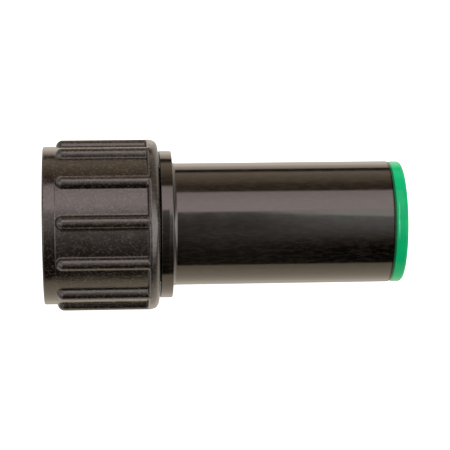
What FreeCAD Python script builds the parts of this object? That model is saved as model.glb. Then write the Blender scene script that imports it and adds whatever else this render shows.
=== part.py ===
import FreeCAD, Part
from FreeCAD import Vector
import math
import os

# Swivel compression adapter for drip irrigation: a snap-on swivel nut with a female garden-hose
# thread, on a moulded body whose long socket grips a polyethylene tube with a coloured ring.
# Millimetres. X runs along the fitting from the nut's mouth (x = 0) to the tube's mouth.

# Garden-hose thread, 3/4-11.5 NH: right-hand, 60 degree flanks
PITCH = 25.4 / 11.5
FLANK_ANGLE = 30.0
THREAD_CREST_RADIUS = 12.6
THREAD_ROOT_RADIUS = 13.6
THREAD_CREST_WIDTH = 0.95
THREAD_START = 1.6
THREAD_END = 12.6
THREAD_OVERCUT = 0.2

# Swivel nut
NUT_LENGTH = 22.85
NUT_RADIUS = 15.81
NUT_RIM_ROUND = 0.3
MOUTH_RADIUS = 13.75
MOUTH_CHAMFER = 0.4
NUT_RECESS_RADIUS = 13.65
SHOULDER_RADIUS = 17.1
SHOULDER_LENGTH = 2.45
SHOULDER_FRONT_ROUND = 0.4
SHOULDER_REAR_ROUND = 1.6
LIP_CHAMFER = 0.7

# Grip ribs of the nut: half-round, with round ends
RIB_COUNT = 12
RIB_ROUND = 1.33
RIB_NOSE_CENTRE = 3.95
RIB_TAIL_CENTRE = 20.0

# Swivel: the nut's back lip runs on the body's neck, behind a snap-in bead
NECK_RADIUS = 11.4
NECK_CLEARANCE = 0.2
END_FLOAT = 0.2
BEAD_RADIUS = 12.1
BEAD_LENGTH = 2.6
BEAD_CHAMFER = 0.6

# Hose washer and its filter screen
WASHER_RADIUS = 12.7
WASHER_BORE_RADIUS = 7.95
WASHER_THICKNESS = 3.2
WASHER_EDGE_ROUND = 0.35
SCREEN_RADIUS = 8.7
SCREEN_THICKNESS = 0.4

# Body: collar and barrel
COLLAR_RADIUS = 14.74
COLLAR_LENGTH = 2.5
COLLAR_EDGE_ROUND = 0.25
BARREL_BASE_RADIUS = 12.23
BARREL_END_RADIUS = 12.22
BARREL_LENGTH = 43.6
BARREL_BASE_FILLET = 0.8
BARREL_EDGE_ROUND = 0.12
WATERWAY_RADIUS = 7.9
WATERWAY_CHAMFER = 0.5
TUBE_STOP_FROM_COLLAR = 4.6
TUBE_GUIDE_RADIUS = 9.15
TUBE_GUIDE_LENGTH = 12.0
BARREL_BORE_RADIUS = 10.2
BORE_TAPER_LENGTH = 5.0
RING_SEAT_RADIUS = 10.6
RING_SEAT_DEPTH = 8.2

# Compression ring for tube of 17.8 mm outside diameter
RING_FLANGE_LENGTH = 2.7
RING_FLANGE_RADIUS = 12.17
RING_BEVEL_LENGTH = 0.9
RING_BEVEL_DEPTH = 0.2
RING_EDGE_ROUND = 0.65
RING_SLEEVE_LENGTH = 7.6
RING_MOUTH_RADIUS = 10.35
RING_MOUTH_ROUND = 0.4
RING_GRIP_RADIUS = 8.75
RING_GRIP_LENGTH = 1.2
RING_GRIP_RELIEF = 1.1
RING_TAIL_WALL = 0.5

# Places along the axis
LIP_FRONT = NUT_LENGTH + END_FLOAT - BEAD_LENGTH - 1.1
BEAD_BACK = LIP_FRONT - END_FLOAT
BEAD_FRONT = BEAD_BACK - BEAD_LENGTH
COLLAR_FRONT = NUT_LENGTH + END_FLOAT
COLLAR_BACK = COLLAR_FRONT + COLLAR_LENGTH
TUBE_STOP = COLLAR_BACK + TUBE_STOP_FROM_COLLAR
BARREL_END = COLLAR_BACK + BARREL_LENGTH
FITTING_END = BARREL_END + RING_FLANGE_LENGTH
LIP_RADIUS = NECK_RADIUS + NECK_CLEARANCE

ORIGIN = Vector(0, 0, 0)
AXIS = Vector(1, 0, 0)


def corner_arc(before, corner, after, radius):
    """Start, middle and end of the arc that rounds a corner between two straight edges."""
    into = (before - corner).normalize()
    out = (after - corner).normalize()
    half_angle = into.getAngle(out) / 2
    setback = radius / math.tan(half_angle)
    centre = corner + (into + out).normalize() * (radius / math.sin(half_angle))
    middle = centre + (corner - centre).normalize() * radius
    return corner + into * setback, middle, corner + out * setback


def turned(outline):
    """Solid of revolution about X. Each outline corner is (x, radius) or (x, radius, rounding)."""
    points = [Vector(corner[0], 0, corner[1]) for corner in outline]
    stretches = []
    for i, corner in enumerate(outline):
        if len(corner) == 3:
            following = points[(i + 1) % len(points)]
            stretches.append(corner_arc(points[i - 1], points[i], following, corner[2]))
        else:
            stretches.append((points[i],))
    edges = []
    for i, stretch in enumerate(stretches):
        if len(stretch) == 3:
            edges.append(Part.Arc(*stretch).toShape())
        following = stretches[(i + 1) % len(stretches)][0]
        edges.append(Part.LineSegment(stretch[-1], following).toShape())
    return Part.Face(Part.Wire(edges)).revolve(ORIGIN, AXIS, 360)


def thread_groove():
    """The helical groove that leaves the nut's thread standing between its turns."""
    slope = math.tan(math.radians(FLANK_ANGLE))
    depth = THREAD_ROOT_RADIUS - THREAD_CREST_RADIUS
    opening = (PITCH - THREAD_CREST_WIDTH) / 2
    inner_half = opening + THREAD_OVERCUT * slope
    root_half = opening - depth * slope
    inner_radius = THREAD_CREST_RADIUS - THREAD_OVERCUT
    corners = [
        Vector(inner_radius, 0, -inner_half),
        Vector(THREAD_ROOT_RADIUS, 0, -root_half),
        Vector(THREAD_ROOT_RADIUS, 0, root_half),
        Vector(inner_radius, 0, inner_half),
    ]
    section = Part.makePolygon(corners + corners[:1])
    start = THREAD_START - opening
    length = THREAD_END - THREAD_START + 2 * opening
    helix = Part.makeHelix(PITCH, length, THREAD_CREST_RADIUS)
    groove = Part.Wire(helix.Edges).makePipeShell([section], True, True)
    groove.rotate(ORIGIN, Vector(0, 1, 0), 90)
    groove.translate(Vector(start, 0, 0))
    return groove


def grip_rib(angle):
    """One half-round rib with ball ends, its top at the shoulder's radius."""
    centre_radius = SHOULDER_RADIUS - RIB_ROUND
    nose = Vector(RIB_NOSE_CENTRE, 0, centre_radius)
    tail = Vector(RIB_TAIL_CENTRE, 0, centre_radius)
    bar = Part.makeCylinder(RIB_ROUND, RIB_TAIL_CENTRE - RIB_NOSE_CENTRE, nose, AXIS)
    ends = [Part.makeSphere(RIB_ROUND, point, AXIS) for point in (nose, tail)]
    rib = bar.multiFuse(ends)
    rib.rotate(ORIGIN, AXIS, angle)
    return rib


def nut_blank():
    """The nut's outside, with a plain bore at the thread's crests."""
    shoulder_front = NUT_LENGTH - SHOULDER_LENGTH
    return turned([
        (0, NUT_RADIUS, NUT_RIM_ROUND),
        (shoulder_front, NUT_RADIUS),
        (shoulder_front, SHOULDER_RADIUS, SHOULDER_FRONT_ROUND),
        (NUT_LENGTH, SHOULDER_RADIUS, SHOULDER_REAR_ROUND),
        (NUT_LENGTH, LIP_RADIUS),
        (LIP_FRONT, LIP_RADIUS),
        (LIP_FRONT, THREAD_CREST_RADIUS),
        (0, THREAD_CREST_RADIUS),
    ])


def mouth_space():
    """The chamfered counterbore in front of the thread."""
    return turned([
        (-MOUTH_CHAMFER, 0),
        (-MOUTH_CHAMFER, MOUTH_RADIUS + 2 * MOUTH_CHAMFER),
        (MOUTH_CHAMFER, MOUTH_RADIUS),
        (THREAD_START, MOUTH_RADIUS),
        (THREAD_START, 0),
    ])


def washer_space():
    """The recess behind the thread, for the washer and the body's bead, and the lip's chamfer."""
    return turned([
        (THREAD_END, 0),
        (THREAD_END, NUT_RECESS_RADIUS),
        (LIP_FRONT, NUT_RECESS_RADIUS),
        (LIP_FRONT, LIP_RADIUS + LIP_CHAMFER),
        (LIP_FRONT + LIP_CHAMFER, LIP_RADIUS),
        (LIP_FRONT + LIP_CHAMFER, 0),
    ])


def swivel_nut():
    nut = nut_blank()
    for space in (thread_groove(), mouth_space(), washer_space()):
        nut = nut.cut(space)
    ribs = [grip_rib(i * 360 / RIB_COUNT) for i in range(RIB_COUNT)]
    return nut.multiFuse(ribs).Solids[0]


def body():
    taper_start = TUBE_STOP + TUBE_GUIDE_LENGTH
    ring_seat = BARREL_END - RING_SEAT_DEPTH
    return turned([
        (BEAD_FRONT, BEAD_RADIUS - BEAD_CHAMFER),
        (BEAD_FRONT + BEAD_CHAMFER, BEAD_RADIUS),
        (BEAD_BACK, BEAD_RADIUS),
        (BEAD_BACK, NECK_RADIUS),
        (COLLAR_FRONT, NECK_RADIUS),
        (COLLAR_FRONT, COLLAR_RADIUS, COLLAR_EDGE_ROUND),
        (COLLAR_BACK, COLLAR_RADIUS, COLLAR_EDGE_ROUND),
        (COLLAR_BACK, BARREL_BASE_RADIUS, BARREL_BASE_FILLET),
        (BARREL_END, BARREL_END_RADIUS, BARREL_EDGE_ROUND),
        (BARREL_END, RING_SEAT_RADIUS),
        (ring_seat, RING_SEAT_RADIUS),
        (ring_seat, BARREL_BORE_RADIUS),
        (taper_start + BORE_TAPER_LENGTH, BARREL_BORE_RADIUS),
        (taper_start, TUBE_GUIDE_RADIUS),
        (TUBE_STOP, TUBE_GUIDE_RADIUS),
        (TUBE_STOP, WATERWAY_RADIUS),
        (BEAD_FRONT + WATERWAY_CHAMFER, WATERWAY_RADIUS),
        (BEAD_FRONT, WATERWAY_RADIUS + WATERWAY_CHAMFER),
    ])


def screen_places():
    """Front and back of the filter screen, at mid-thickness of the washer."""
    middle = BEAD_FRONT - WASHER_THICKNESS / 2
    return middle - SCREEN_THICKNESS / 2, middle + SCREEN_THICKNESS / 2


def hose_washer():
    """Flat rubber washer against the body's end, grooved inside for the screen's edge."""
    front = BEAD_FRONT - WASHER_THICKNESS
    screen_front, screen_back = screen_places()
    return turned([
        (front, WASHER_RADIUS, WASHER_EDGE_ROUND),
        (BEAD_FRONT, WASHER_RADIUS, WASHER_EDGE_ROUND),
        (BEAD_FRONT, WASHER_BORE_RADIUS, WASHER_EDGE_ROUND),
        (screen_back, WASHER_BORE_RADIUS),
        (screen_back, SCREEN_RADIUS),
        (screen_front, SCREEN_RADIUS),
        (screen_front, WASHER_BORE_RADIUS),
        (front, WASHER_BORE_RADIUS, WASHER_EDGE_ROUND),
    ])


def filter_screen():
    """Plain disc with the outside size of the woven wire screen."""
    front = screen_places()[0]
    return Part.makeCylinder(SCREEN_RADIUS, SCREEN_THICKNESS, Vector(front, 0, 0), AXIS)


def compression_ring():
    """Coloured ring pressed into the socket's mouth: flange outside, gripping lip inside."""
    sleeve_end = BARREL_END - RING_SLEEVE_LENGTH
    grip_back = sleeve_end + RING_GRIP_RELIEF
    return turned([
        (BARREL_END, RING_FLANGE_RADIUS - RING_BEVEL_DEPTH),
        (BARREL_END + RING_BEVEL_LENGTH, RING_FLANGE_RADIUS),
        (FITTING_END, RING_FLANGE_RADIUS, RING_EDGE_ROUND),
        (FITTING_END, RING_MOUTH_RADIUS, RING_MOUTH_ROUND),
        (grip_back + RING_GRIP_LENGTH, RING_GRIP_RADIUS),
        (grip_back, RING_GRIP_RADIUS),
        (sleeve_end, RING_SEAT_RADIUS - RING_TAIL_WALL),
        (sleeve_end, RING_SEAT_RADIUS),
        (BARREL_END, RING_SEAT_RADIUS),
    ])


def main():
    parts = {
        "swivel_nut": swivel_nut(),
        "body": body(),
        "hose_washer": hose_washer(),
        "filter_screen": filter_screen(),
        "compression_ring": compression_ring(),
    }
    os.makedirs("parts", exist_ok=True)
    for name, shape in parts.items():
        shape.exportStep(f"parts/{name}.step")
        box = shape.BoundBox
        print(name, shape.ShapeType, len(shape.Solids), shape.isValid(), round(shape.Volume, 1),
              [round(v, 2) for v in (box.XMin, box.XMax, box.YMin, box.YMax, box.ZMin, box.ZMax)])


main()
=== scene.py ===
"""Swivel compression adapter: the looks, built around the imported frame.

Everything is in metres in the frame's own axes: X runs along the fitting from the nut's mouth,
the fitting lies on its side with Z up, and the camera looks down on it.
"""

import math

import bpy
import numpy as np
from mathutils import Matrix, Vector

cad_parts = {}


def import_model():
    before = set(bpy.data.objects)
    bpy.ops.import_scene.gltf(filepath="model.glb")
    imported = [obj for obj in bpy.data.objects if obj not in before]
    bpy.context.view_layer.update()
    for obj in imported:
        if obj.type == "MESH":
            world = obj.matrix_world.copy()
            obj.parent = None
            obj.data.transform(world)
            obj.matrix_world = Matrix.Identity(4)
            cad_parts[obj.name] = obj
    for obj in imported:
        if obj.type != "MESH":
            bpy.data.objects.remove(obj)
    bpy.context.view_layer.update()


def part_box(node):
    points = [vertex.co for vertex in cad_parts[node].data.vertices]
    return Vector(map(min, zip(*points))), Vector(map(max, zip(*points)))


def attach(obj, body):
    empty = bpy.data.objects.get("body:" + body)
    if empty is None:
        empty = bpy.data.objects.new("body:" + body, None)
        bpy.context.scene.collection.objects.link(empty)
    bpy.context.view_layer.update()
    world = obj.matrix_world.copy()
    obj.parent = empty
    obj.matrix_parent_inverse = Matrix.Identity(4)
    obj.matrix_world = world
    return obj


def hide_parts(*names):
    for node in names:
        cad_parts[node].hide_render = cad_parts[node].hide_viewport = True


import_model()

MM = 0.001
TURN = 2 * math.pi

# ---------------------------------------------------------------------------
# Places that the frame gives, in millimetres along the fitting


def ends(node):
    """Where a node starts and ends along X."""
    low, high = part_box(node)
    return low.x / MM, high.x / MM


def widest(node):
    """A node's largest radius."""
    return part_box(node)[1].z / MM


NUT_FRONT, NUT_BACK = ends("swivel_nut")
BODY_FRONT, BODY_BACK = ends("body")
WASHER_FRONT, WASHER_BACK = ends("hose_washer")
SCREEN_FRONT, SCREEN_BACK = ends("filter_screen")
RING_FRONT, FITTING_END = ends("compression_ring")
SHOULDER_RADIUS = widest("swivel_nut")
COLLAR_RADIUS = widest("body")
WASHER_RADIUS = widest("hose_washer")
SCREEN_RADIUS = widest("filter_screen")
RING_RADIUS = widest("compression_ring")

# ---------------------------------------------------------------------------
# Sizes in millimetres. They follow the CAD model, apart from small roundings that only show close
# up and the way the nut's ribs, shoulder and grain start and end.

# How many faces a rounding gets, as (limit of its radius, faces). Past a rounding, a guard point
# keeps the shading of the straight stretch flat.
ROUNDING_STEPS = ((0.2, 4), (0.8, 7), (math.inf, 12))
SHADING_GUARD = 0.05
LONGEST_SPAN = 2.5
CRISP_ROUND = 0.05
SMALL_ROUND = 0.12
EDGE_ROUND = 0.15
TURNED_COLUMNS = 288
WASHER_COLUMNS = 192

NUT_RADIUS = 15.81
# The shell ends inside the shoulder: two faces in one place would blend into a bulge.
SHELL_BACK = NUT_BACK - 1.0
RIM_ROUND = 0.3
TEXTURE_EDGE = 2.55
TEXTURE_STEP = 0.05
TEXTURE_EDGE_SOFTNESS = 0.03
SHOULDER_LENGTH = 2.3
SHOULDER_FRONT_ROUND = 0.65
SHOULDER_REAR_ROUND = 1.0
SHOULDER_CROWN_START = 0.1
SHOULDER_CROWN_RADIUS = 4.0
SHOULDER_BLEND = 0.2
RIB_COUNT = 12
RIB_ROUND = 1.33
RIB_NOSE_CENTRE = 3.95
RIB_TAIL_CENTRE = 20.7
RIB_BLEND = 0.25
MOUTH_RADIUS = 13.75
MOUTH_CHAMFER = 0.4
RECESS_RADIUS = 13.65
LIP_LENGTH = 3.5
LIP_RADIUS = 11.6
LIP_CHAMFER = 0.7

# The rays that find the nut's outside. At each end they fan round a pivot this deep under the
# edge, and in between they start and aim at two depths under the shoulder's radius.
RIM_PIVOT = 1.0
REAR_PIVOT = 2.0
RAY_START_DEPTH = 3.0
RAY_AIM_DEPTH = 0.6
RAY_LENGTH = 6.0
RAY_HALVINGS = 40
# How far the closer rows reach round the grain's step, and ahead of the shoulder
STEP_REACH = 0.15
SHOULDER_REACH = 0.5
# Half of the angle with closer columns, and the angle within which rays fan out from a rib
RIB_HALF_ANGLE = math.radians(8.2)
RIB_FAN_ANGLE = math.radians(6)
# How far in from its edge the flat face at each end has its first row
RIM_FACE_ROW = 1.2
REAR_FACE_ROW = 2.6

PITCH = 25.4 / 11.5
THREAD_START = 1.6
THREAD_END = 12.6
THREAD_ROOT = 13.6
THREAD_CREST = 12.6
THREAD_CREST_WIDTH = 0.95
THREAD_FLANK = math.radians(30)
THREAD_ROUND = 0.12
THREAD_RUNOUT = 0.22
THREAD_ORIGIN = THREAD_START - (PITCH - THREAD_CREST_WIDTH) / 2
# The thread's mesh lines join the plain rows where they come this close to its ends.
THREAD_MARGIN = 0.02

BEAD_RADIUS = 12.1
BEAD_LENGTH = 2.6
BEAD_CHAMFER = 0.6
BEAD_ROUND = 0.1
NECK_RADIUS = 11.4
COLLAR_FRONT = NUT_BACK + 0.2
COLLAR_BACK = COLLAR_FRONT + 2.5
COLLAR_FRONT_ROUND = 0.25
COLLAR_BACK_ROUND = 0.12
COLLAR_CROWN_LENGTH = 0.9
COLLAR_CROWN_DROP = 0.035
COLLAR_CROWN_ROUND = 6
BARREL_BASE_RADIUS = 12.23
BARREL_END_RADIUS = 12.22
BARREL_END_ROUND = 0.04
BARREL_FILLET = 0.8
WATERWAY_RADIUS = 7.9
WATERWAY_CHAMFER = 0.5
TUBE_STOP = COLLAR_BACK + 4.6
TUBE_STOP_ROUND = 0.2
TUBE_GUIDE_RADIUS = 9.15
TUBE_GUIDE_END = TUBE_STOP + 12
BORE_RADIUS = 10.2
BORE_TAPER_END = TUBE_GUIDE_END + 5
BORE_TAPER_ROUND = 0.5
RING_SEAT_RADIUS = 10.6
RING_SEAT_FRONT = BODY_BACK - 8.2

WASHER_BORE = 7.95
WASHER_ROUND = 0.35

RING_BEVEL_LENGTH = 0.9
RING_BEVEL_DEPTH = 0.2
RING_BEVEL_ROUND = 2.0
RING_EDGE_ROUND = 0.65
RING_SEAM_ROUND = 0.06
RING_MOUTH_RADIUS = 10.35
RING_MOUTH_ROUND = 0.4
RING_GRIP_RADIUS = 8.75
RING_GRIP_LENGTH = 1.2
RING_GRIP_RELIEF = 1.1
RING_GRIP_ROUND = 0.08
RING_LIP_ROUND = 0.1
RING_TAIL_WALL = 0.5
# How far into the ring, from the barrel, the painted shade of the seam reaches.
SEAM_SHADE_WIDTH = 0.45

WIRE_PITCH = 0.5
WIRE_RADIUS = 0.075
WIRE_SIDES = 6
WIRE_STEPS = 4


# ---------------------------------------------------------------------------
# Meshes

def make_piece(name, points, faces, body, node):
    """A closed smooth mesh, points in millimetres, that stands for a CAD node."""
    mesh = bpy.data.meshes.new(name)
    mesh.from_pydata((np.asarray(points) * MM).tolist(), [], faces)
    mesh.validate()
    mesh.shade_smooth()
    piece = bpy.data.objects.new(name, mesh)
    bpy.context.scene.collection.objects.link(piece)
    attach(piece, body)
    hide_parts(node)
    return piece


def corner_points(before, corner, after, radius):
    """The points of the arc that rounds a corner, or the corner itself."""
    if radius == 0:
        return [corner]
    steps = next(count for limit, count in ROUNDING_STEPS if radius < limit)
    into = (before - corner).normalized()
    out = (after - corner).normalized()
    half = into.angle(out) / 2
    centre = corner + (into + out).normalized() * (radius / math.sin(half))
    start = corner + into * (radius / math.tan(half)) - centre
    end = corner + out * (radius / math.tan(half)) - centre
    sweep = math.pi - 2 * half
    points = []
    for i in range(steps + 1):
        t = i / steps
        arm = start * math.sin((1 - t) * sweep) + end * math.sin(t * sweep)
        points.append(centre + arm / math.sin(sweep))
    return points


def rounded_outline(corners, closed=True):
    """Outline of a half section as (x, radius) points. Each corner is (x, radius, rounding)."""
    places = [Vector(corner[:2]) for corner in corners]
    count = len(places)
    arcs = [corner_points(places[i - 1], places[i], places[(i + 1) % count], corner[2])
            for i, corner in enumerate(corners)]
    outline = []
    for i, arc in enumerate(arcs):
        outline.extend(arc)
        if i == count - 1 and not closed:
            break
        start, end = arc[-1], arcs[(i + 1) % count][0]
        run = (end - start).length
        straight = run - 2 * SHADING_GUARD
        if straight > SHADING_GUARD:
            spans = math.ceil(straight / LONGEST_SPAN)
            for k in range(spans + 1):
                outline.append(start.lerp(end, (SHADING_GUARD + straight * k / spans) / run))
    return np.array([tuple(point) for point in outline])


def turned_rows(outline, angles):
    """The outline turned about X: a row of points for each of its points. Angles run from Z to Y."""
    x, radius = outline[:, :1], outline[:, 1:]
    return np.stack([x + 0 * angles, radius * np.sin(angles), radius * np.cos(angles)], axis=-1)


def row_faces(this, following):
    """Quads between two closed rows of point numbers, with repeated points dropped."""
    faces = []
    for j in range(len(this)):
        k = (j + 1) % len(this)
        corners = dict.fromkeys((this[j], following[j], following[k], this[k]))
        if len(corners) > 2:
            faces.append(tuple(corners))
    return faces


def turned_piece(name, corners, columns, body, node):
    """A piece whose half section is turned about X, in that many columns of faces."""
    angles = np.arange(columns) / columns * TURN
    rows = turned_rows(rounded_outline(corners), angles)
    numbers = np.arange(len(rows) * columns).reshape(len(rows), columns).tolist()
    faces = []
    for i, row in enumerate(numbers):
        faces.extend(row_faces(row, numbers[(i + 1) % len(numbers)]))
    return make_piece(name, rows.reshape(-1, 3), faces, body, node)


# The swivel nut. Rays are cast from inside it on to one smooth implicit solid, so that ribs,
# shoulder and rim flow into each other through small fillets.

def soft_min(a, b, size):
    """The smaller of two values, rounded where they cross. For distances this is a filleted union."""
    h = np.clip(0.5 + 0.5 * (b - a) / size, 0, 1)
    return b * (1 - h) + a * h - size * h * (1 - h)


def soft_max(a, b, size):
    """The larger of two values, rounded where they cross."""
    return -soft_min(-a, -b, size)


def edge_distance(along, outward, rounding):
    """Distance to the inside of a rounded edge, from the distances beyond its two faces."""
    along, outward = along + rounding, outward + rounding
    outside = np.hypot(np.maximum(along, 0), np.maximum(outward, 0))
    return np.minimum(np.maximum(along, outward), 0) + outside - rounding


def disc_distance(x, radius, front, back, top, front_round, rear_round):
    """Distance to a thick disc whose two edges are rounded."""
    return np.maximum(edge_distance(front - x, radius - top, front_round),
                      edge_distance(x - back, radius - top, rear_round))


def nut_distance(points):
    """Signed distance to the nut's outside near the rib whose top is along Z."""
    x, y, z = points[..., 0], points[..., 1], points[..., 2]
    radius = np.hypot(y, z)
    step = TEXTURE_STEP / (1 + np.exp((TEXTURE_EDGE - x) / TEXTURE_EDGE_SOFTNESS))
    shell = disc_distance(x, radius + step, NUT_FRONT, SHELL_BACK, NUT_RADIUS, RIM_ROUND, RIM_ROUND)
    shoulder_front = NUT_BACK - SHOULDER_LENGTH
    past_crown_start = np.maximum(x - shoulder_front - SHOULDER_CROWN_START, 0)
    crown = past_crown_start ** 2 / (2 * SHOULDER_CROWN_RADIUS)
    shoulder = disc_distance(x, radius + crown, shoulder_front, NUT_BACK, SHOULDER_RADIUS,
                             SHOULDER_FRONT_ROUND, SHOULDER_REAR_ROUND)
    along = np.clip(x, RIB_NOSE_CENTRE, RIB_TAIL_CENTRE)
    rib_centre = SHOULDER_RADIUS - RIB_ROUND
    rib = np.sqrt((x - along) ** 2 + y ** 2 + (z - rib_centre) ** 2) - RIB_ROUND
    return soft_min(soft_min(shell, shoulder, SHOULDER_BLEND), rib, RIB_BLEND)


def rib_sector_angles():
    """Column angles over one rib's share of the turn: close on the rib, wider between ribs."""
    on_rib = np.linspace(-RIB_HALF_ANGLE, RIB_HALF_ANGLE, 25)
    between = np.linspace(RIB_HALF_ANGLE, TURN / RIB_COUNT / 2, 7)[1:]
    return np.concatenate([-between[::-1], on_rib, between[:-1]])


def stretches(*spans):
    """Values along a line. Each span is (start, end, steps), and the last end is left out."""
    return np.concatenate([np.linspace(a, b, n, endpoint=False) for a, b, n in spans])


def nut_rays():
    """Each row's rays as start (x, radius), aim (x, radius) and how far they keep to a plane
    through the axis: 1 on the flat faces, 0 where they fan out across a rib."""
    rim = (NUT_FRONT + RIM_PIVOT, NUT_RADIUS - RIM_PIVOT)
    rear = (NUT_BACK - REAR_PIVOT, SHOULDER_RADIUS - REAR_PIVOT)
    inner, outer = SHOULDER_RADIUS - RAY_START_DEPTH, SHOULDER_RADIUS - RAY_AIM_DEPTH
    before_shoulder = NUT_BACK - SHOULDER_LENGTH - SHOULDER_REACH
    quarter = math.pi / 2
    rows = []
    for angle in np.linspace(0, quarter, 12, endpoint=False):
        rows.append((*rim, rim[0] - math.cos(angle), rim[1] + math.sin(angle), 1 - angle / quarter))
    for x in stretches((rim[0], TEXTURE_EDGE - STEP_REACH, 4),
                       (TEXTURE_EDGE - STEP_REACH, TEXTURE_EDGE + STEP_REACH, 8),
                       (TEXTURE_EDGE + STEP_REACH, RIB_NOSE_CENTRE, 13),
                       (RIB_NOSE_CENTRE, before_shoulder, 10),
                       (before_shoulder, rear[0], 16)):
        rows.append((x, inner, x, outer, 0))
    for angle in np.linspace(0, quarter, 22):
        rows.append((*rear, rear[0] + math.sin(angle), rear[1] + math.cos(angle), angle / quarter))
    return rows


def nut_outside(angles):
    """One rib's share of the outside, row by row from the rim's face round to the rear face."""
    sector_end = TURN / RIB_COUNT / 2
    share = np.clip((np.abs(angles) - RIB_FAN_ANGLE) / (sector_end - RIB_FAN_ANGLE), 0, 1)
    spread = share * share * (3 - 2 * share)
    rows = []
    for start_x, start_radius, aim_x, aim_radius, in_plane in nut_rays():
        start_angles = angles * (spread + (1 - spread) * in_plane)
        start = turned_rows(np.array([[start_x, start_radius]]), start_angles)[0]
        aim = turned_rows(np.array([[aim_x, aim_radius]]), angles)[0]
        direction = (aim - start) / np.linalg.norm(aim - start, axis=-1, keepdims=True)
        near, far = np.zeros(len(angles)), np.full(len(angles), RAY_LENGTH)
        for _ in range(RAY_HALVINGS):
            middle = (near + far) / 2
            inside = nut_distance(start + direction * middle[:, None]) < 0
            near, far = np.where(inside, middle, near), np.where(inside, far, middle)
        rows.append(start + direction * near[:, None])
    return np.array(rows)


def whole_turn(sector):
    """A sector's rows of points repeated for every rib, turning from Z to Y."""
    copies = []
    for k in range(RIB_COUNT):
        c, s = math.cos(k * TURN / RIB_COUNT), math.sin(k * TURN / RIB_COUNT)
        x, y, z = sector[..., 0], sector[..., 1], sector[..., 2]
        copies.append(np.stack([x, y * c + z * s, z * c - y * s], axis=-1))
    return np.concatenate(copies, axis=1)


def thread_radius(x, angle):
    """Inner radius of the threaded bore: rounded ridges that fade in and out at the thread's ends."""
    depth = THREAD_ROOT - THREAD_CREST
    turns = (x - THREAD_ORIGIN) / PITCH + angle / TURN
    from_crest = (turns - np.round(turns)) * PITCH
    flank = depth - (np.abs(from_crest) - THREAD_CREST_WIDTH / 2) / math.tan(THREAD_FLANK)
    height = soft_max(soft_min(flank, depth, THREAD_ROUND), 0, THREAD_ROUND)
    crest_x = x - from_crest
    room = np.minimum(crest_x - THREAD_START, THREAD_END - crest_x) / PITCH - 0.5
    fade = np.clip(room / THREAD_RUNOUT, 0, 1)
    return THREAD_ROOT - height * fade * fade * (3 - 2 * fade)


def thread_spacing():
    """Where the mesh lines of one pitch run, in pitches from the crest's middle. They are close
    together on the flanks, and the same on both sides."""
    half = [0, 0.3, 0.44, 0.53, 0.68, 0.86, 0.99]
    return np.array(half + [PITCH / 2] + [PITCH - h for h in half[:0:-1]]) / PITCH


def swivel_nut():
    """One closed mesh: the mouth, the outside, the rear face, the lip, the recess and the thread."""
    sector = rib_sector_angles()
    angles = np.concatenate([sector + k * TURN / RIB_COUNT for k in range(RIB_COUNT)])
    outside = whole_turn(nut_outside(sector))
    lip_front = NUT_BACK - LIP_LENGTH
    rear = rounded_outline([
        (NUT_BACK, SHOULDER_RADIUS - REAR_FACE_ROW, 0),
        (NUT_BACK, LIP_RADIUS, EDGE_ROUND),
        (lip_front + LIP_CHAMFER, LIP_RADIUS, EDGE_ROUND),
        (lip_front, LIP_RADIUS + LIP_CHAMFER, SMALL_ROUND),
        (lip_front, RECESS_RADIUS, SMALL_ROUND),
        (THREAD_END, RECESS_RADIUS, 0),
        (THREAD_END, THREAD_ROOT, 0),
    ], closed=False)
    front = rounded_outline([
        (THREAD_START, THREAD_ROOT, 0),
        (THREAD_START, MOUTH_RADIUS, CRISP_ROUND),
        (MOUTH_CHAMFER, MOUTH_RADIUS, SMALL_ROUND),
        (NUT_FRONT, MOUTH_RADIUS + MOUTH_CHAMFER, SMALL_ROUND),
        (NUT_FRONT, NUT_RADIUS - RIM_FACE_ROW, 0),
    ], closed=False)
    rows = np.concatenate([turned_rows(front, angles), outside, turned_rows(rear, angles)])
    points = list(rows.reshape(-1, 3))
    numbers = np.arange(len(points)).reshape(len(rows), len(angles)).tolist()
    faces = []
    for this, following in zip(numbers, numbers[1:]):
        faces.extend(row_faces(this, following))
    faces.extend(thread_faces(points, angles, numbers[-1], numbers[0]))
    return make_piece("swivel_nut_moulding", points, faces, "hose_nut", "swivel_nut")


def thread_faces(points, angles, end_row, start_row):
    """Adds the threaded bore between two plain rows. Its mesh lines follow the helix, so that
    the last column of one line meets the first column of the line one pitch on."""
    spacing = thread_spacing()
    per_turn = len(spacing)
    first = -per_turn
    last = per_turn * math.ceil((THREAD_END - THREAD_START) / PITCH + 2)
    lines = {}
    for i in range(first, last + 1):
        line_x = THREAD_ORIGIN + PITCH * (i // per_turn + spacing[i % per_turn])
        row = []
        for j, angle in enumerate(angles):
            x = line_x - PITCH * angle / TURN
            if x < THREAD_START + THREAD_MARGIN:
                row.append(start_row[j])
            elif x > THREAD_END - THREAD_MARGIN:
                row.append(end_row[j])
            else:
                radius = thread_radius(x, angle)
                row.append(len(points))
                points.append((x, radius * math.sin(angle), radius * math.cos(angle)))
        lines[i] = row
    faces = []
    for i in range(first + per_turn, last):
        this = lines[i] + [lines[i - per_turn][0]]
        following = lines[i + 1] + [lines[i + 1 - per_turn][0]]
        for j in range(len(angles)):
            corners = dict.fromkeys((this[j], this[j + 1], following[j + 1], following[j]))
            if len(corners) > 2:
                faces.append(tuple(corners))
    return faces


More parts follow.
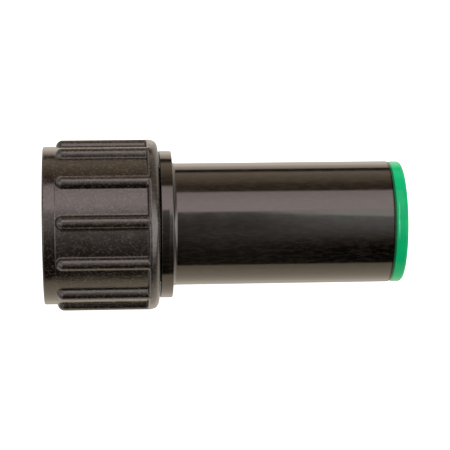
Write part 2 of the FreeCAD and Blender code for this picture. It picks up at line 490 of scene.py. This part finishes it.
def fitting_body():
    """The snap bead, the neck, the collar, and the barrel with the tube's stepped socket."""
    return turned_piece("body_moulding", [
        (BODY_FRONT, BEAD_RADIUS - BEAD_CHAMFER, BEAD_ROUND),
        (BODY_FRONT + BEAD_CHAMFER, BEAD_RADIUS, EDGE_ROUND),
        (BODY_FRONT + BEAD_LENGTH, BEAD_RADIUS, SMALL_ROUND),
        (BODY_FRONT + BEAD_LENGTH, NECK_RADIUS, SMALL_ROUND),
        (COLLAR_FRONT, NECK_RADIUS, SMALL_ROUND),
        (COLLAR_FRONT, COLLAR_RADIUS, COLLAR_FRONT_ROUND),
        (COLLAR_BACK - COLLAR_CROWN_LENGTH, COLLAR_RADIUS, COLLAR_CROWN_ROUND),
        (COLLAR_BACK, COLLAR_RADIUS - COLLAR_CROWN_DROP, COLLAR_BACK_ROUND),
        (COLLAR_BACK, BARREL_BASE_RADIUS, BARREL_FILLET),
        (BODY_BACK, BARREL_END_RADIUS, BARREL_END_ROUND),
        (BODY_BACK, RING_SEAT_RADIUS, SMALL_ROUND),
        (RING_SEAT_FRONT, RING_SEAT_RADIUS, SMALL_ROUND),
        (RING_SEAT_FRONT, BORE_RADIUS, SMALL_ROUND),
        (BORE_TAPER_END, BORE_RADIUS, BORE_TAPER_ROUND),
        (TUBE_GUIDE_END, TUBE_GUIDE_RADIUS, BORE_TAPER_ROUND),
        (TUBE_STOP, TUBE_GUIDE_RADIUS, EDGE_ROUND),
        (TUBE_STOP, WATERWAY_RADIUS, TUBE_STOP_ROUND),
        (BODY_FRONT + WATERWAY_CHAMFER, WATERWAY_RADIUS, SMALL_ROUND),
        (BODY_FRONT, WATERWAY_RADIUS + WATERWAY_CHAMFER, SMALL_ROUND),
    ], TURNED_COLUMNS, "adapter_body", "body")


def compression_ring():
    """The coloured flange, and the sleeve inside the barrel with its gripping lip."""
    grip_start = RING_FRONT + RING_GRIP_RELIEF
    return turned_piece("compression_ring_moulding", [
        (BODY_BACK, RING_RADIUS - RING_BEVEL_DEPTH, RING_SEAM_ROUND),
        (BODY_BACK + RING_BEVEL_LENGTH, RING_RADIUS, RING_BEVEL_ROUND),
        (FITTING_END, RING_RADIUS, RING_EDGE_ROUND),
        (FITTING_END, RING_MOUTH_RADIUS, RING_MOUTH_ROUND),
        (grip_start + RING_GRIP_LENGTH, RING_GRIP_RADIUS, RING_LIP_ROUND),
        (grip_start, RING_GRIP_RADIUS, RING_GRIP_ROUND),
        (RING_FRONT, RING_SEAT_RADIUS - RING_TAIL_WALL, RING_LIP_ROUND),
        (RING_FRONT, RING_SEAT_RADIUS, RING_LIP_ROUND),
        (BODY_BACK, RING_SEAT_RADIUS, RING_SEAM_ROUND),
    ], TURNED_COLUMNS, "adapter_body", "compression_ring")


def hose_washer():
    """A flat rubber ring, with a groove in its bore that holds the screen's edge."""
    return turned_piece("hose_washer_rubber", [
        (WASHER_FRONT, WASHER_RADIUS, WASHER_ROUND),
        (WASHER_BACK, WASHER_RADIUS, WASHER_ROUND),
        (WASHER_BACK, WASHER_BORE, WASHER_ROUND),
        (SCREEN_BACK, WASHER_BORE, CRISP_ROUND),
        (SCREEN_BACK, SCREEN_RADIUS, CRISP_ROUND),
        (SCREEN_FRONT, SCREEN_RADIUS, CRISP_ROUND),
        (SCREEN_FRONT, WASHER_BORE, CRISP_ROUND),
        (WASHER_FRONT, WASHER_BORE, WASHER_ROUND),
    ], WASHER_COLUMNS, "hose_nut", "hose_washer")


def filter_screen():
    """Plain-woven wires, each a closed tube that goes over and under the ones it crosses."""
    middle = (SCREEN_FRONT + SCREEN_BACK) / 2
    count = int(SCREEN_RADIUS / WIRE_PITCH)
    points, faces = [], []
    for across in (0, 1):
        for wire in range(-count, count + 1):
            offset = wire * WIRE_PITCH
            half = math.sqrt(SCREEN_RADIUS ** 2 - offset ** 2) - WIRE_RADIUS
            steps = max(2, round(2 * half / WIRE_PITCH * WIRE_STEPS))
            side = 1 if (wire + across) % 2 else -1
            first = len(points)
            for i in range(steps + 1):
                along = -half + 2 * half * i / steps
                lift = side * WIRE_RADIUS * math.cos(math.pi * along / WIRE_PITCH)
                for k in range(WIRE_SIDES):
                    turn = TURN * k / WIRE_SIDES
                    x = middle + lift + WIRE_RADIUS * math.cos(turn)
                    sideways = offset + WIRE_RADIUS * math.sin(turn)
                    points.append((x, along, sideways) if across else (x, sideways, along))
            wire_faces = [tuple(range(first, first + WIRE_SIDES))]
            for i in range(steps):
                this = [first + i * WIRE_SIDES + k for k in range(WIRE_SIDES)]
                wire_faces += row_faces(this, [number + WIRE_SIDES for number in this])
            last = first + steps * WIRE_SIDES
            wire_faces.append(tuple(range(last + WIRE_SIDES - 1, last - 1, -1)))
            faces += wire_faces if across else [face[::-1] for face in wire_faces]
    return make_piece("filter_screen_wires", points, faces, "hose_nut", "filter_screen")


# ---------------------------------------------------------------------------
# Node graphs

class Graph:
    """Short words for building a node tree."""

    def __init__(self, tree):
        self.tree = tree
        tree.nodes.clear()

    def node(self, kind, values=None, **settings):
        """A new node. A value that is a socket is linked to the input, any other is set."""
        made = self.tree.nodes.new(kind)
        for key, value in settings.items():
            setattr(made, key, value)
        for key, value in (values or {}).items():
            if isinstance(value, bpy.types.NodeSocket):
                self.tree.links.new(value, made.inputs[key])
            else:
                made.inputs[key].default_value = value
        return made

    def math(self, operation, *values):
        """A sum, with the name that Blender gives to the operation."""
        return self.node("ShaderNodeMath", dict(enumerate(values)), operation=operation).outputs[0]

    def ramp(self, factor, stops):
        """A colour ramp through (place, colour) stops."""
        ramp = self.node("ShaderNodeValToRGB", {"Fac": factor})
        while len(ramp.color_ramp.elements) < len(stops):
            ramp.color_ramp.elements.new(0.5)
        for element, (place, colour) in zip(ramp.color_ramp.elements, stops):
            element.position = place
            element.color = (*colour, 1)
        return ramp.outputs["Color"]

    def fade(self, value, low, high):
        """0 below low, 1 above high, smooth between."""
        return self.node("ShaderNodeMapRange", {"Value": value, "From Min": low, "From Max": high},
                         interpolation_type="SMOOTHSTEP").outputs[0]

    def noise(self, vector, scale, detail=2.0, roughness=0.5):
        return self.node("ShaderNodeTexNoise", {"Vector": vector, "Scale": scale, "Detail": detail,
                                                "Roughness": roughness}).outputs["Fac"]

    def mix(self, factor, a, b):
        """Colour a where factor is 0, colour b where it is 1."""
        made = self.node("ShaderNodeMix", data_type="RGBA")
        for key, value in (("Factor", factor), ("A", a), ("B", b)):
            socket = [s for s in made.inputs if s.name == key and s.enabled][0]
            if isinstance(value, bpy.types.NodeSocket):
                self.tree.links.new(value, socket)
            else:
                socket.default_value = value if key == "Factor" else (*value, 1)
        return [s for s in made.outputs if s.enabled][0]

    def bump(self, height, depth, strength=1.0):
        """A bump whose full height is depth in metres."""
        values = {"Height": height, "Distance": depth, "Strength": strength}
        return self.node("ShaderNodeBump", values).outputs["Normal"]


def new_material(name):
    """An empty material, its graph, and the place on the piece in the piece's coordinates."""
    material = bpy.data.materials.new(name)
    material.use_nodes = True
    graph = Graph(material.node_tree)
    place = graph.node("ShaderNodeTexCoord").outputs["Object"]
    return material, graph, place


def finish_material(graph, **values):
    """Ends a material in one shader. Each keyword is an input of it, with _ for a space."""
    inputs = {key.replace("_", " "): value for key, value in values.items()}
    shader = graph.node("ShaderNodeBsdfPrincipled", inputs)
    graph.node("ShaderNodeOutputMaterial", {"Surface": shader.outputs[0]})


def axial_radius(graph, place):
    """Distance along X and from X, in metres."""
    split = graph.node("ShaderNodeSeparateXYZ", {0: place})
    x, y, z = split.outputs
    square = graph.math("ADD", graph.math("MULTIPLY", y, y), graph.math("MULTIPLY", z, z))
    return x, graph.math("SQRT", square)


def nut_material():
    """Black polypropylene: a spark-eroded grain outside, with pale flecks, and a plain bore.
    The grain is softer on the rim and round the shoulder's rear edge."""
    material, graph, place = new_material("nut_plastic")
    x, radius = axial_radius(graph, place)
    past_rim = graph.fade(x, (TEXTURE_EDGE - 0.05) * MM, (TEXTURE_EDGE + 0.1) * MM)
    before_edge = graph.fade(x, (NUT_BACK - 1.2) * MM, (NUT_BACK - 2.2) * MM)
    grained = graph.math("MULTIPLY", past_rim, before_edge)
    pits = graph.noise(place, 2300, 3.0, 0.6)
    fine = graph.noise(place, 5200, 2.0, 0.5)
    patches = graph.fade(graph.noise(place, 330, 2.0, 0.5), 0.3, 0.7)
    height = graph.math("MULTIPLY_ADD", fine, 0.35, pits)
    depth = graph.math("MULTIPLY_ADD", grained, 0.5, 0.35)
    depth = graph.math("MULTIPLY", depth, graph.math("MULTIPLY_ADD", patches, 0.5, 0.6))
    grain = graph.bump(graph.math("MULTIPLY", height, depth), 0.00005)
    worn = graph.fade(radius, (SHOULDER_RADIUS - 0.5) * MM, SHOULDER_RADIUS * MM)
    smudge = graph.noise(place, 240, 3.0, 0.55)
    rough = graph.math("MULTIPLY_ADD", grained, 0.04, 0.12)
    rough = graph.math("MULTIPLY_ADD", worn, -0.02, rough)
    rough = graph.math("MULTIPLY_ADD", smudge, 0.05, rough)
    flecks = graph.fade(graph.noise(place, 1900, 1.5, 0.6), 0.50, 0.64)
    flecked = graph.mix(flecks, (0.0002, 0.0001, 0.0001), (0.0235, 0.0171, 0.0122))
    outside = graph.fade(radius, (NUT_RADIUS - 0.9) * MM, (NUT_RADIUS - 0.4) * MM)
    colour = graph.mix(outside, (0.0040, 0.0033, 0.0027), flecked)
    finish_material(graph, Base_Color=colour, Roughness=rough, Normal=grain, IOR=1.5)
    return material


def body_material():
    """Black plastic from a polished mould: deep gloss, a faint waviness, light handling haze and
    lengthwise rub marks. The edge against the ring reflects less: painted shade in the seam."""
    material, graph, place = new_material("body_plastic")
    wave = graph.noise(place, 70, 1.0, 0.4)
    peel = graph.noise(place, 1400, 2.0, 0.5)
    height = graph.math("MULTIPLY_ADD", peel, 0.03, wave)
    normal = graph.bump(height, 0.00004, 0.5)
    haze = graph.noise(place, 160, 4.0, 0.6)
    rough = graph.math("MULTIPLY_ADD", graph.fade(haze, 0.45, 0.75), 0.06, 0.075)
    drawn_out = {0: place, 1: (0.25, 1.0, 1.0)}
    along = graph.node("ShaderNodeVectorMath", drawn_out, operation="MULTIPLY").outputs[0]
    rubs = graph.fade(graph.noise(along, 2000, 2.0, 0.6), 0.42, 0.62)
    colour = graph.mix(rubs, (0.0001, 0.0001, 0.0001), (0.0066, 0.0054, 0.0042))
    x, _ = axial_radius(graph, place)
    # Painted shade: the reflection is turned down on the barrel's edge against the ring.
    seam = graph.fade(x, (BODY_BACK - 0.4) * MM, (BODY_BACK - 0.1) * MM)
    shine = graph.math("MULTIPLY_ADD", seam, -0.42, 0.5)
    finish_material(graph, Base_Color=colour, Roughness=rough, Normal=normal, IOR=1.5,
                    Specular_IOR_Level=shine)
    return material


def ring_material():
    """Green acetal: satin gloss, with painted shade: a darker green in the seam against the barrel."""
    material, graph, place = new_material("ring_plastic")
    x, _ = axial_radius(graph, place)
    streak = graph.noise(place, 420, 2.0, 0.5)
    fine = graph.noise(place, 2600, 2.0, 0.5)
    normal = graph.bump(fine, 0.000008, 0.5)
    rough = graph.math("MULTIPLY_ADD", streak, 0.08, 0.10)
    # Painted shade: the ring's green is darker next to the barrel, where the seam is shaded.
    past_seam_shade = graph.fade(x, (BODY_BACK + SEAM_SHADE_WIDTH - 0.15) * MM, (BODY_BACK + SEAM_SHADE_WIDTH + 0.1) * MM)
    green = graph.mix(graph.fade(streak, 0.3, 0.7), (0.002, 0.335, 0.125), (0.003, 0.365, 0.14))
    colour = graph.mix(past_seam_shade, (0.001, 0.10, 0.035), green)
    finish_material(graph, Base_Color=colour, Roughness=rough, Normal=normal, IOR=1.49,
                    Specular_IOR_Level=0.07)
    return material


def rubber_material():
    """Matt black rubber with a patchy pale bloom."""
    material, graph, place = new_material("washer_rubber")
    bloom = graph.noise(place, 500, 4.0, 0.6)
    fine = graph.noise(place, 3500, 3.0, 0.6)
    normal = graph.bump(fine, 0.00003, 0.6)
    rough = graph.math("MULTIPLY_ADD", bloom, 0.2, 0.55)
    colour = graph.mix(graph.fade(bloom, 0.35, 0.75), (0.011, 0.011, 0.011), (0.024, 0.023, 0.022))
    finish_material(graph, Base_Color=colour, Roughness=rough, Normal=normal, IOR=1.45)
    return material


def wire_material():
    """Drawn stainless steel."""
    material, graph, place = new_material("screen_wire")
    drawn = graph.noise(place, 3000, 3.0, 0.6)
    rough = graph.math("MULTIPLY_ADD", drawn, 0.15, 0.22)
    colour = graph.mix(drawn, (0.50, 0.49, 0.46), (0.66, 0.65, 0.62))
    finish_material(graph, Base_Color=colour, Metallic=1.0, Roughness=rough)
    return material


# ---------------------------------------------------------------------------
# The studio, in metres

CAMERA_DISTANCE = 0.3792
CAMERA_LENS = 150.4
CAMERA_SENSOR = 36.0
TAIL_AWAY = math.radians(3.9)
TAIL_RAISED = math.radians(0.75)
RIBS_ROLLED = math.radians(1.5)
AIM_ALONG = 0.0364
AIM_ACROSS = -0.00033


def camera():
    """Looks down on the fitting along -Z with Y up in the picture. The tube end is a little farther
    away and a little higher, and the ribs are rolled a little."""
    data = bpy.data.cameras.new("camera")
    data.lens = CAMERA_LENS
    data.sensor_width = CAMERA_SENSOR
    data.clip_start = 0.01
    obj = bpy.data.objects.new("camera", data)
    bpy.context.scene.collection.objects.link(obj)
    turn = Matrix.Rotation(RIBS_ROLLED, 4, "X") @ Matrix.Rotation(-TAIL_AWAY, 4, "Y")
    turn = turn @ Matrix.Rotation(-TAIL_RAISED, 4, "Z")
    aim = Vector((AIM_ALONG, AIM_ACROSS, 0))
    obj.matrix_world = Matrix.Translation(aim) @ turn @ Matrix.Translation((0, 0, CAMERA_DISTANCE))
    bpy.context.scene.camera = obj


# What the gloss reflects, by direction round the fitting's axis: degrees from Z towards Y, and
# the light's colour. A softbox stands above on the Y side; white board lies below; the rest is dim.
# Colours are stored as shares of the brightest light.
LIGHT_PEAK = 5.0
REFLECTED = [
    (-180, (0.70, 0.65, 0.58)),
    (-163, (0.78, 0.71, 0.63)),
    (-150, (1.35, 1.18, 1.00)),
    (-130, (1.60, 1.36, 1.10)),
    (-105, (1.70, 1.42, 1.08)),
    (-88, (1.45, 1.18, 0.82)),
    (-85.5, (0.13, 0.10, 0.08)),
    (-69, (0.15, 0.12, 0.09)),
    (-52, (0.20, 0.16, 0.13)),
    (-36, (0.38, 0.30, 0.25)),
    (-21, (0.56, 0.48, 0.42)),
    (-6, (0.50, 0.42, 0.36)),
    (10, (0.72, 0.64, 0.57)),
    (19, (1.00, 0.90, 0.84)),
    (21.5, (4.30, 3.55, 3.45)),
    (38, (4.15, 3.42, 3.30)),
    (58.5, (3.35, 2.72, 2.60)),
    (61.5, (0.42, 0.28, 0.22)),
    (74, (0.52, 0.36, 0.25)),
    (85, (1.00, 0.75, 0.50)),
    (98, (1.28, 1.00, 0.72)),
    (108, (1.35, 1.05, 0.80)),
    (112, (0.55, 0.42, 0.33)),
    (115, (0.10, 0.07, 0.05)),
    (121, (0.10, 0.07, 0.05)),
    (125, (1.70, 1.40, 1.15)),
    (143, (1.95, 1.68, 1.42)),
    (154, (1.30, 1.18, 1.03)),
    (165, (0.85, 0.79, 0.70)),
    (180, (0.70, 0.65, 0.58)),
]
# The dim side again, as it looks straight across the nut, across the collar, and towards the
# tube's end. Each runs from the white board to the softbox.
DIM_START = math.radians(-88)
DIM_END = math.radians(24)
DIM_SOFTNESS = math.radians(2)
REFLECTED_NUT = [
    (-88, (1.45, 1.18, 0.82)),
    (-85.5, (0.06, 0.04, 0.03)),
    (-60, (0.10, 0.07, 0.05)),
    (-45, (0.13, 0.10, 0.08)),
    (-37, (0.20, 0.16, 0.13)),
    (-28, (0.36, 0.29, 0.25)),
    (-20, (0.62, 0.52, 0.44)),
    (-12, (1.05, 0.92, 0.82)),
    (-5, (1.60, 1.43, 1.30)),
    (8, (2.10, 1.90, 1.75)),
    (19, (2.50, 2.20, 2.05)),
    (21.5, (4.30, 3.55, 3.45)),
]
REFLECTED_COLLAR = [
    (-88, (1.45, 1.18, 0.82)),
    (-85.5, (0.05, 0.04, 0.03)),
    (-60, (0.05, 0.04, 0.03)),
    (-45, (0.08, 0.06, 0.05)),
    (-33, (0.14, 0.11, 0.09)),
    (-20, (0.24, 0.20, 0.17)),
    (-6, (0.34, 0.29, 0.26)),
    (10, (0.60, 0.53, 0.48)),
    (19, (1.00, 0.90, 0.84)),
    (21.5, (4.30, 3.55, 3.45)),
]
REFLECTED_FAR = [
    (-88, (1.45, 1.18, 0.82)),
    (-85.5, (0.04, 0.03, 0.02)),
    (-60, (0.03, 0.025, 0.02)),
    (-50, (0.06, 0.05, 0.04)),
    (-36, (0.28, 0.23, 0.19)),
    (-21, (0.85, 0.76, 0.68)),
    (-6, (1.42, 1.32, 1.26)),
    (10, (1.95, 1.86, 1.78)),
    (19, (2.20, 2.10, 2.00)),
    (21.5, (4.30, 3.55, 3.45)),
]
# What rounded edges reflect: past the tube's end, and past the nut's mouth.
TAIL_LIGHT = [
    (-180, (0.60, 0.55, 0.49)),
    (-150, (1.55, 1.38, 1.20)),
    (-110, (1.85, 1.63, 1.40)),
    (-88, (1.35, 1.17, 0.98)),
    (-82, (0.62, 0.53, 0.45)),
    (-65, (0.62, 0.53, 0.45)),
    (-55, (1.00, 0.90, 0.80)),
    (-45, (2.60, 2.40, 2.20)),
    (-32, (4.00, 3.72, 3.45)),
    (-12, (4.80, 4.50, 4.20)),
    (12, (4.80, 4.50, 4.25)),
    (24, (3.00, 2.75, 2.50)),
    (35, (1.80, 1.52, 1.32)),
    (48, (1.20, 0.98, 0.82)),
    (80, (0.95, 0.80, 0.66)),
    (130, (1.45, 1.28, 1.08)),
    (180, (0.60, 0.55, 0.49)),
]
MOUTH_LIGHT = [
    (-180, (0.60, 0.57, 0.53)),
    (-150, (1.50, 1.40, 1.25)),
    (-110, (1.90, 1.70, 1.50)),
    (-78, (1.20, 1.10, 1.00)),
    (-60, (0.40, 0.37, 0.33)),
    (-48, (0.90, 0.82, 0.75)),
    (-35, (2.00, 1.85, 1.70)),
    (-12, (2.80, 2.60, 2.40)),
    (14, (2.60, 2.40, 2.25)),
    (35, (1.30, 1.20, 1.12)),
    (64, (1.60, 1.40, 1.28)),
    (110, (1.10, 0.97, 0.85)),
    (150, (1.50, 1.40, 1.25)),
    (180, (0.60, 0.57, 0.53)),
]
# The X part of a direction, from where one set of bands fades until the next is full
NUT_TO_COLLAR = (-0.005, 0.032)
COLLAR_TO_NEAR = (0.043, 0.053)
NEAR_TO_FAR = (0.07, 0.145)
BANDS_TO_TAIL = (0.18, 0.32)
BANDS_TO_MOUTH = (-0.1, -0.3)

# The softbox's lower edge opens into a pale wedge towards the tube's end.
WEDGE_START = 0.094
WEDGE_FADE = (WEDGE_START - 0.004, WEDGE_START + 0.006)
WEDGE_OPENING = 0.84
WEDGE_TOP = math.radians(20)
WEDGE_TOP_SOFTNESS = math.radians(1.5)
WEDGE_EDGE_SOFTNESS = 0.015
WEDGE_COLOUR = (3.7, 3.45, 3.15)

AMBIENT = 0.85
AMBIENT_COLOUR = (1.0, 0.98, 0.95, 1)
WHITE = (1, 1, 1, 1)


def around_ramp(graph, place, stops):
    """A ramp round the fitting's axis."""
    return graph.ramp(place, [((degrees + 180) / 360, tuple(c / LIGHT_PEAK for c in colour))
                              for degrees, colour in stops])


def wedge_share(graph, x, around):
    """How far a direction lies in the wedge: it widens as the square root of the way along X."""
    past_start = graph.math("MAXIMUM", graph.math("SUBTRACT", x, WEDGE_START), 0.0)
    edge = graph.math("MULTIPLY_ADD", graph.math("SQRT", past_start), -WEDGE_OPENING, WEDGE_TOP)
    above_edge = graph.math("SUBTRACT", around, edge)
    share = graph.math("MULTIPLY", graph.fade(above_edge, -WEDGE_EDGE_SOFTNESS, WEDGE_EDGE_SOFTNESS),
                       graph.fade(around, WEDGE_TOP + WEDGE_TOP_SOFTNESS, WEDGE_TOP))
    return graph.math("MULTIPLY", share, graph.fade(x, *WEDGE_FADE))


def reflected_light(graph):
    """The studio's bands round the fitting, which change with the direction along it."""
    direction = graph.node("ShaderNodeTexCoord").outputs["Generated"]
    x, y, z = graph.node("ShaderNodeSeparateXYZ", {0: direction}).outputs
    around = graph.math("ARCTAN2", y, z)
    place = graph.math("MULTIPLY_ADD", around, 1 / TURN, 0.5)
    near = around_ramp(graph, place, REFLECTED)
    dim = around_ramp(graph, place, REFLECTED_NUT)
    dim = graph.mix(graph.fade(x, *NUT_TO_COLLAR), dim, around_ramp(graph, place, REFLECTED_COLLAR))
    dim = graph.mix(graph.fade(x, *COLLAR_TO_NEAR), dim, near)
    dim = graph.mix(graph.fade(x, *NEAR_TO_FAR), dim, around_ramp(graph, place, REFLECTED_FAR))
    dim_side = graph.math("MULTIPLY", graph.fade(around, DIM_START, DIM_START + DIM_SOFTNESS),
                          graph.fade(around, DIM_END, DIM_END - DIM_SOFTNESS))
    bands = graph.mix(dim_side, near, dim)
    pale = tuple(c / LIGHT_PEAK for c in WEDGE_COLOUR)
    bands = graph.mix(wedge_share(graph, x, around), bands, pale)
    tail = around_ramp(graph, place, TAIL_LIGHT)
    mouth = around_ramp(graph, place, MOUTH_LIGHT)
    with_tail = graph.mix(graph.fade(x, *BANDS_TO_TAIL), bands, tail)
    return graph.mix(graph.fade(x, *BANDS_TO_MOUTH), with_tail, mouth)


def background(graph, colour, strength):
    """An even light from all round."""
    made = graph.node("ShaderNodeBackground", {"Color": colour, "Strength": strength})
    return made.outputs[0]


def world():
    """White to the camera, soft and even to matt surfaces, and the studio's bands to glossy ones."""
    scene_world = bpy.data.worlds.new("studio")
    scene_world.use_nodes = True
    scene_world.cycles.sampling_method = "NONE"
    bpy.context.scene.world = scene_world
    graph = Graph(scene_world.node_tree)
    reflected = background(graph, reflected_light(graph), LIGHT_PEAK)
    ambient = background(graph, AMBIENT_COLOUR, AMBIENT)
    backdrop = background(graph, WHITE, 1.0)
    path = graph.node("ShaderNodeLightPath").outputs
    surfaces = graph.node("ShaderNodeMixShader", {0: path["Is Glossy Ray"], 1: ambient, 2: reflected})
    seen = graph.node("ShaderNodeMixShader", {0: path["Is Camera Ray"], 1: surfaces.outputs[0],
                                              2: backdrop})
    graph.node("ShaderNodeOutputWorld", {"Surface": seen.outputs[0]})


KEY_POWER = 1.7
KEY_DISTANCE = 0.6
KEY_SIZE = 0.45
KEY_ANGLE = math.radians(44)
KEY_COLOUR = (1.0, 0.97, 0.95)


def key_light():
    """The softbox as matt surfaces see it."""
    data = bpy.data.lights.new("softbox", "AREA")
    data.shape = "SQUARE"
    data.size = KEY_SIZE
    data.energy = KEY_POWER
    data.color = KEY_COLOUR
    obj = bpy.data.objects.new("softbox", data)
    bpy.context.scene.collection.objects.link(obj)
    middle = Vector((FITTING_END * MM / 2, 0, 0))
    offset = Matrix.Rotation(-KEY_ANGLE, 4, "X") @ Matrix.Translation((0, 0, KEY_DISTANCE))
    obj.matrix_world = Matrix.Translation(middle) @ offset
    obj.visible_glossy = False


RING_LIGHT_DISTANCE = 0.4
RING_LIGHT_ANGLE = math.radians(-4.6)
RING_LIGHT_WIDTH = 0.06
RING_LIGHT_LENGTH = 0.5
RING_LIGHT_POWER = 3.3


def ring_light(ring):
    """A strip light for the ring's bevelled edge alone."""
    data = bpy.data.lights.new("ring_strip", "AREA")
    data.shape = "RECTANGLE"
    data.size = RING_LIGHT_WIDTH
    data.size_y = RING_LIGHT_LENGTH
    data.energy = RING_LIGHT_POWER
    obj = bpy.data.objects.new("ring_strip", data)
    bpy.context.scene.collection.objects.link(obj)
    middle = Vector((BODY_BACK * MM, 0, 0))
    offset = Matrix.Rotation(RING_LIGHT_ANGLE, 4, "Y") @ Matrix.Translation((0, 0, RING_LIGHT_DISTANCE))
    obj.matrix_world = Matrix.Translation(middle) @ offset
    obj.visible_diffuse = False
    only_ring = bpy.data.collections.new("ring_only")
    only_ring.objects.link(ring)
    obj.light_linking.receiver_collection = only_ring


FLOOR_HALF = 2.0
FLOOR_GLOW = 0.8


def floor():
    """A wide white sheet under the fitting, with a glow of its own, so that it stays pale."""
    height = -SHOULDER_RADIUS * MM
    mesh = bpy.data.meshes.new("floor")
    corners = [(-FLOOR_HALF, -FLOOR_HALF, height), (FLOOR_HALF, -FLOOR_HALF, height),
               (FLOOR_HALF, FLOOR_HALF, height), (-FLOOR_HALF, FLOOR_HALF, height)]
    mesh.from_pydata(corners, [], [(0, 1, 2, 3)])
    obj = bpy.data.objects.new("floor", mesh)
    bpy.context.scene.collection.objects.link(obj)
    obj.visible_glossy = False
    material = bpy.data.materials.new("floor")
    material.use_nodes = True
    graph = Graph(material.node_tree)
    finish_material(graph, Base_Color=(0.9, 0.9, 0.89, 1), Roughness=0.9, Specular_IOR_Level=0.0,
                    Emission_Color=WHITE, Emission_Strength=FLOOR_GLOW)
    mesh.materials.append(material)


# ---------------------------------------------------------------------------
# Everything together

pieces = {}
for make, finish in ((swivel_nut, nut_material), (fitting_body, body_material),
                     (compression_ring, ring_material), (hose_washer, rubber_material),
                     (filter_screen, wire_material)):
    piece = make()
    piece.data.materials.append(finish())
    pieces[make.__name__] = piece
camera()
world()
key_light()
ring_light(pieces["compression_ring"])
floor()
bpy.context.scene.view_settings.view_transform = "Standard"
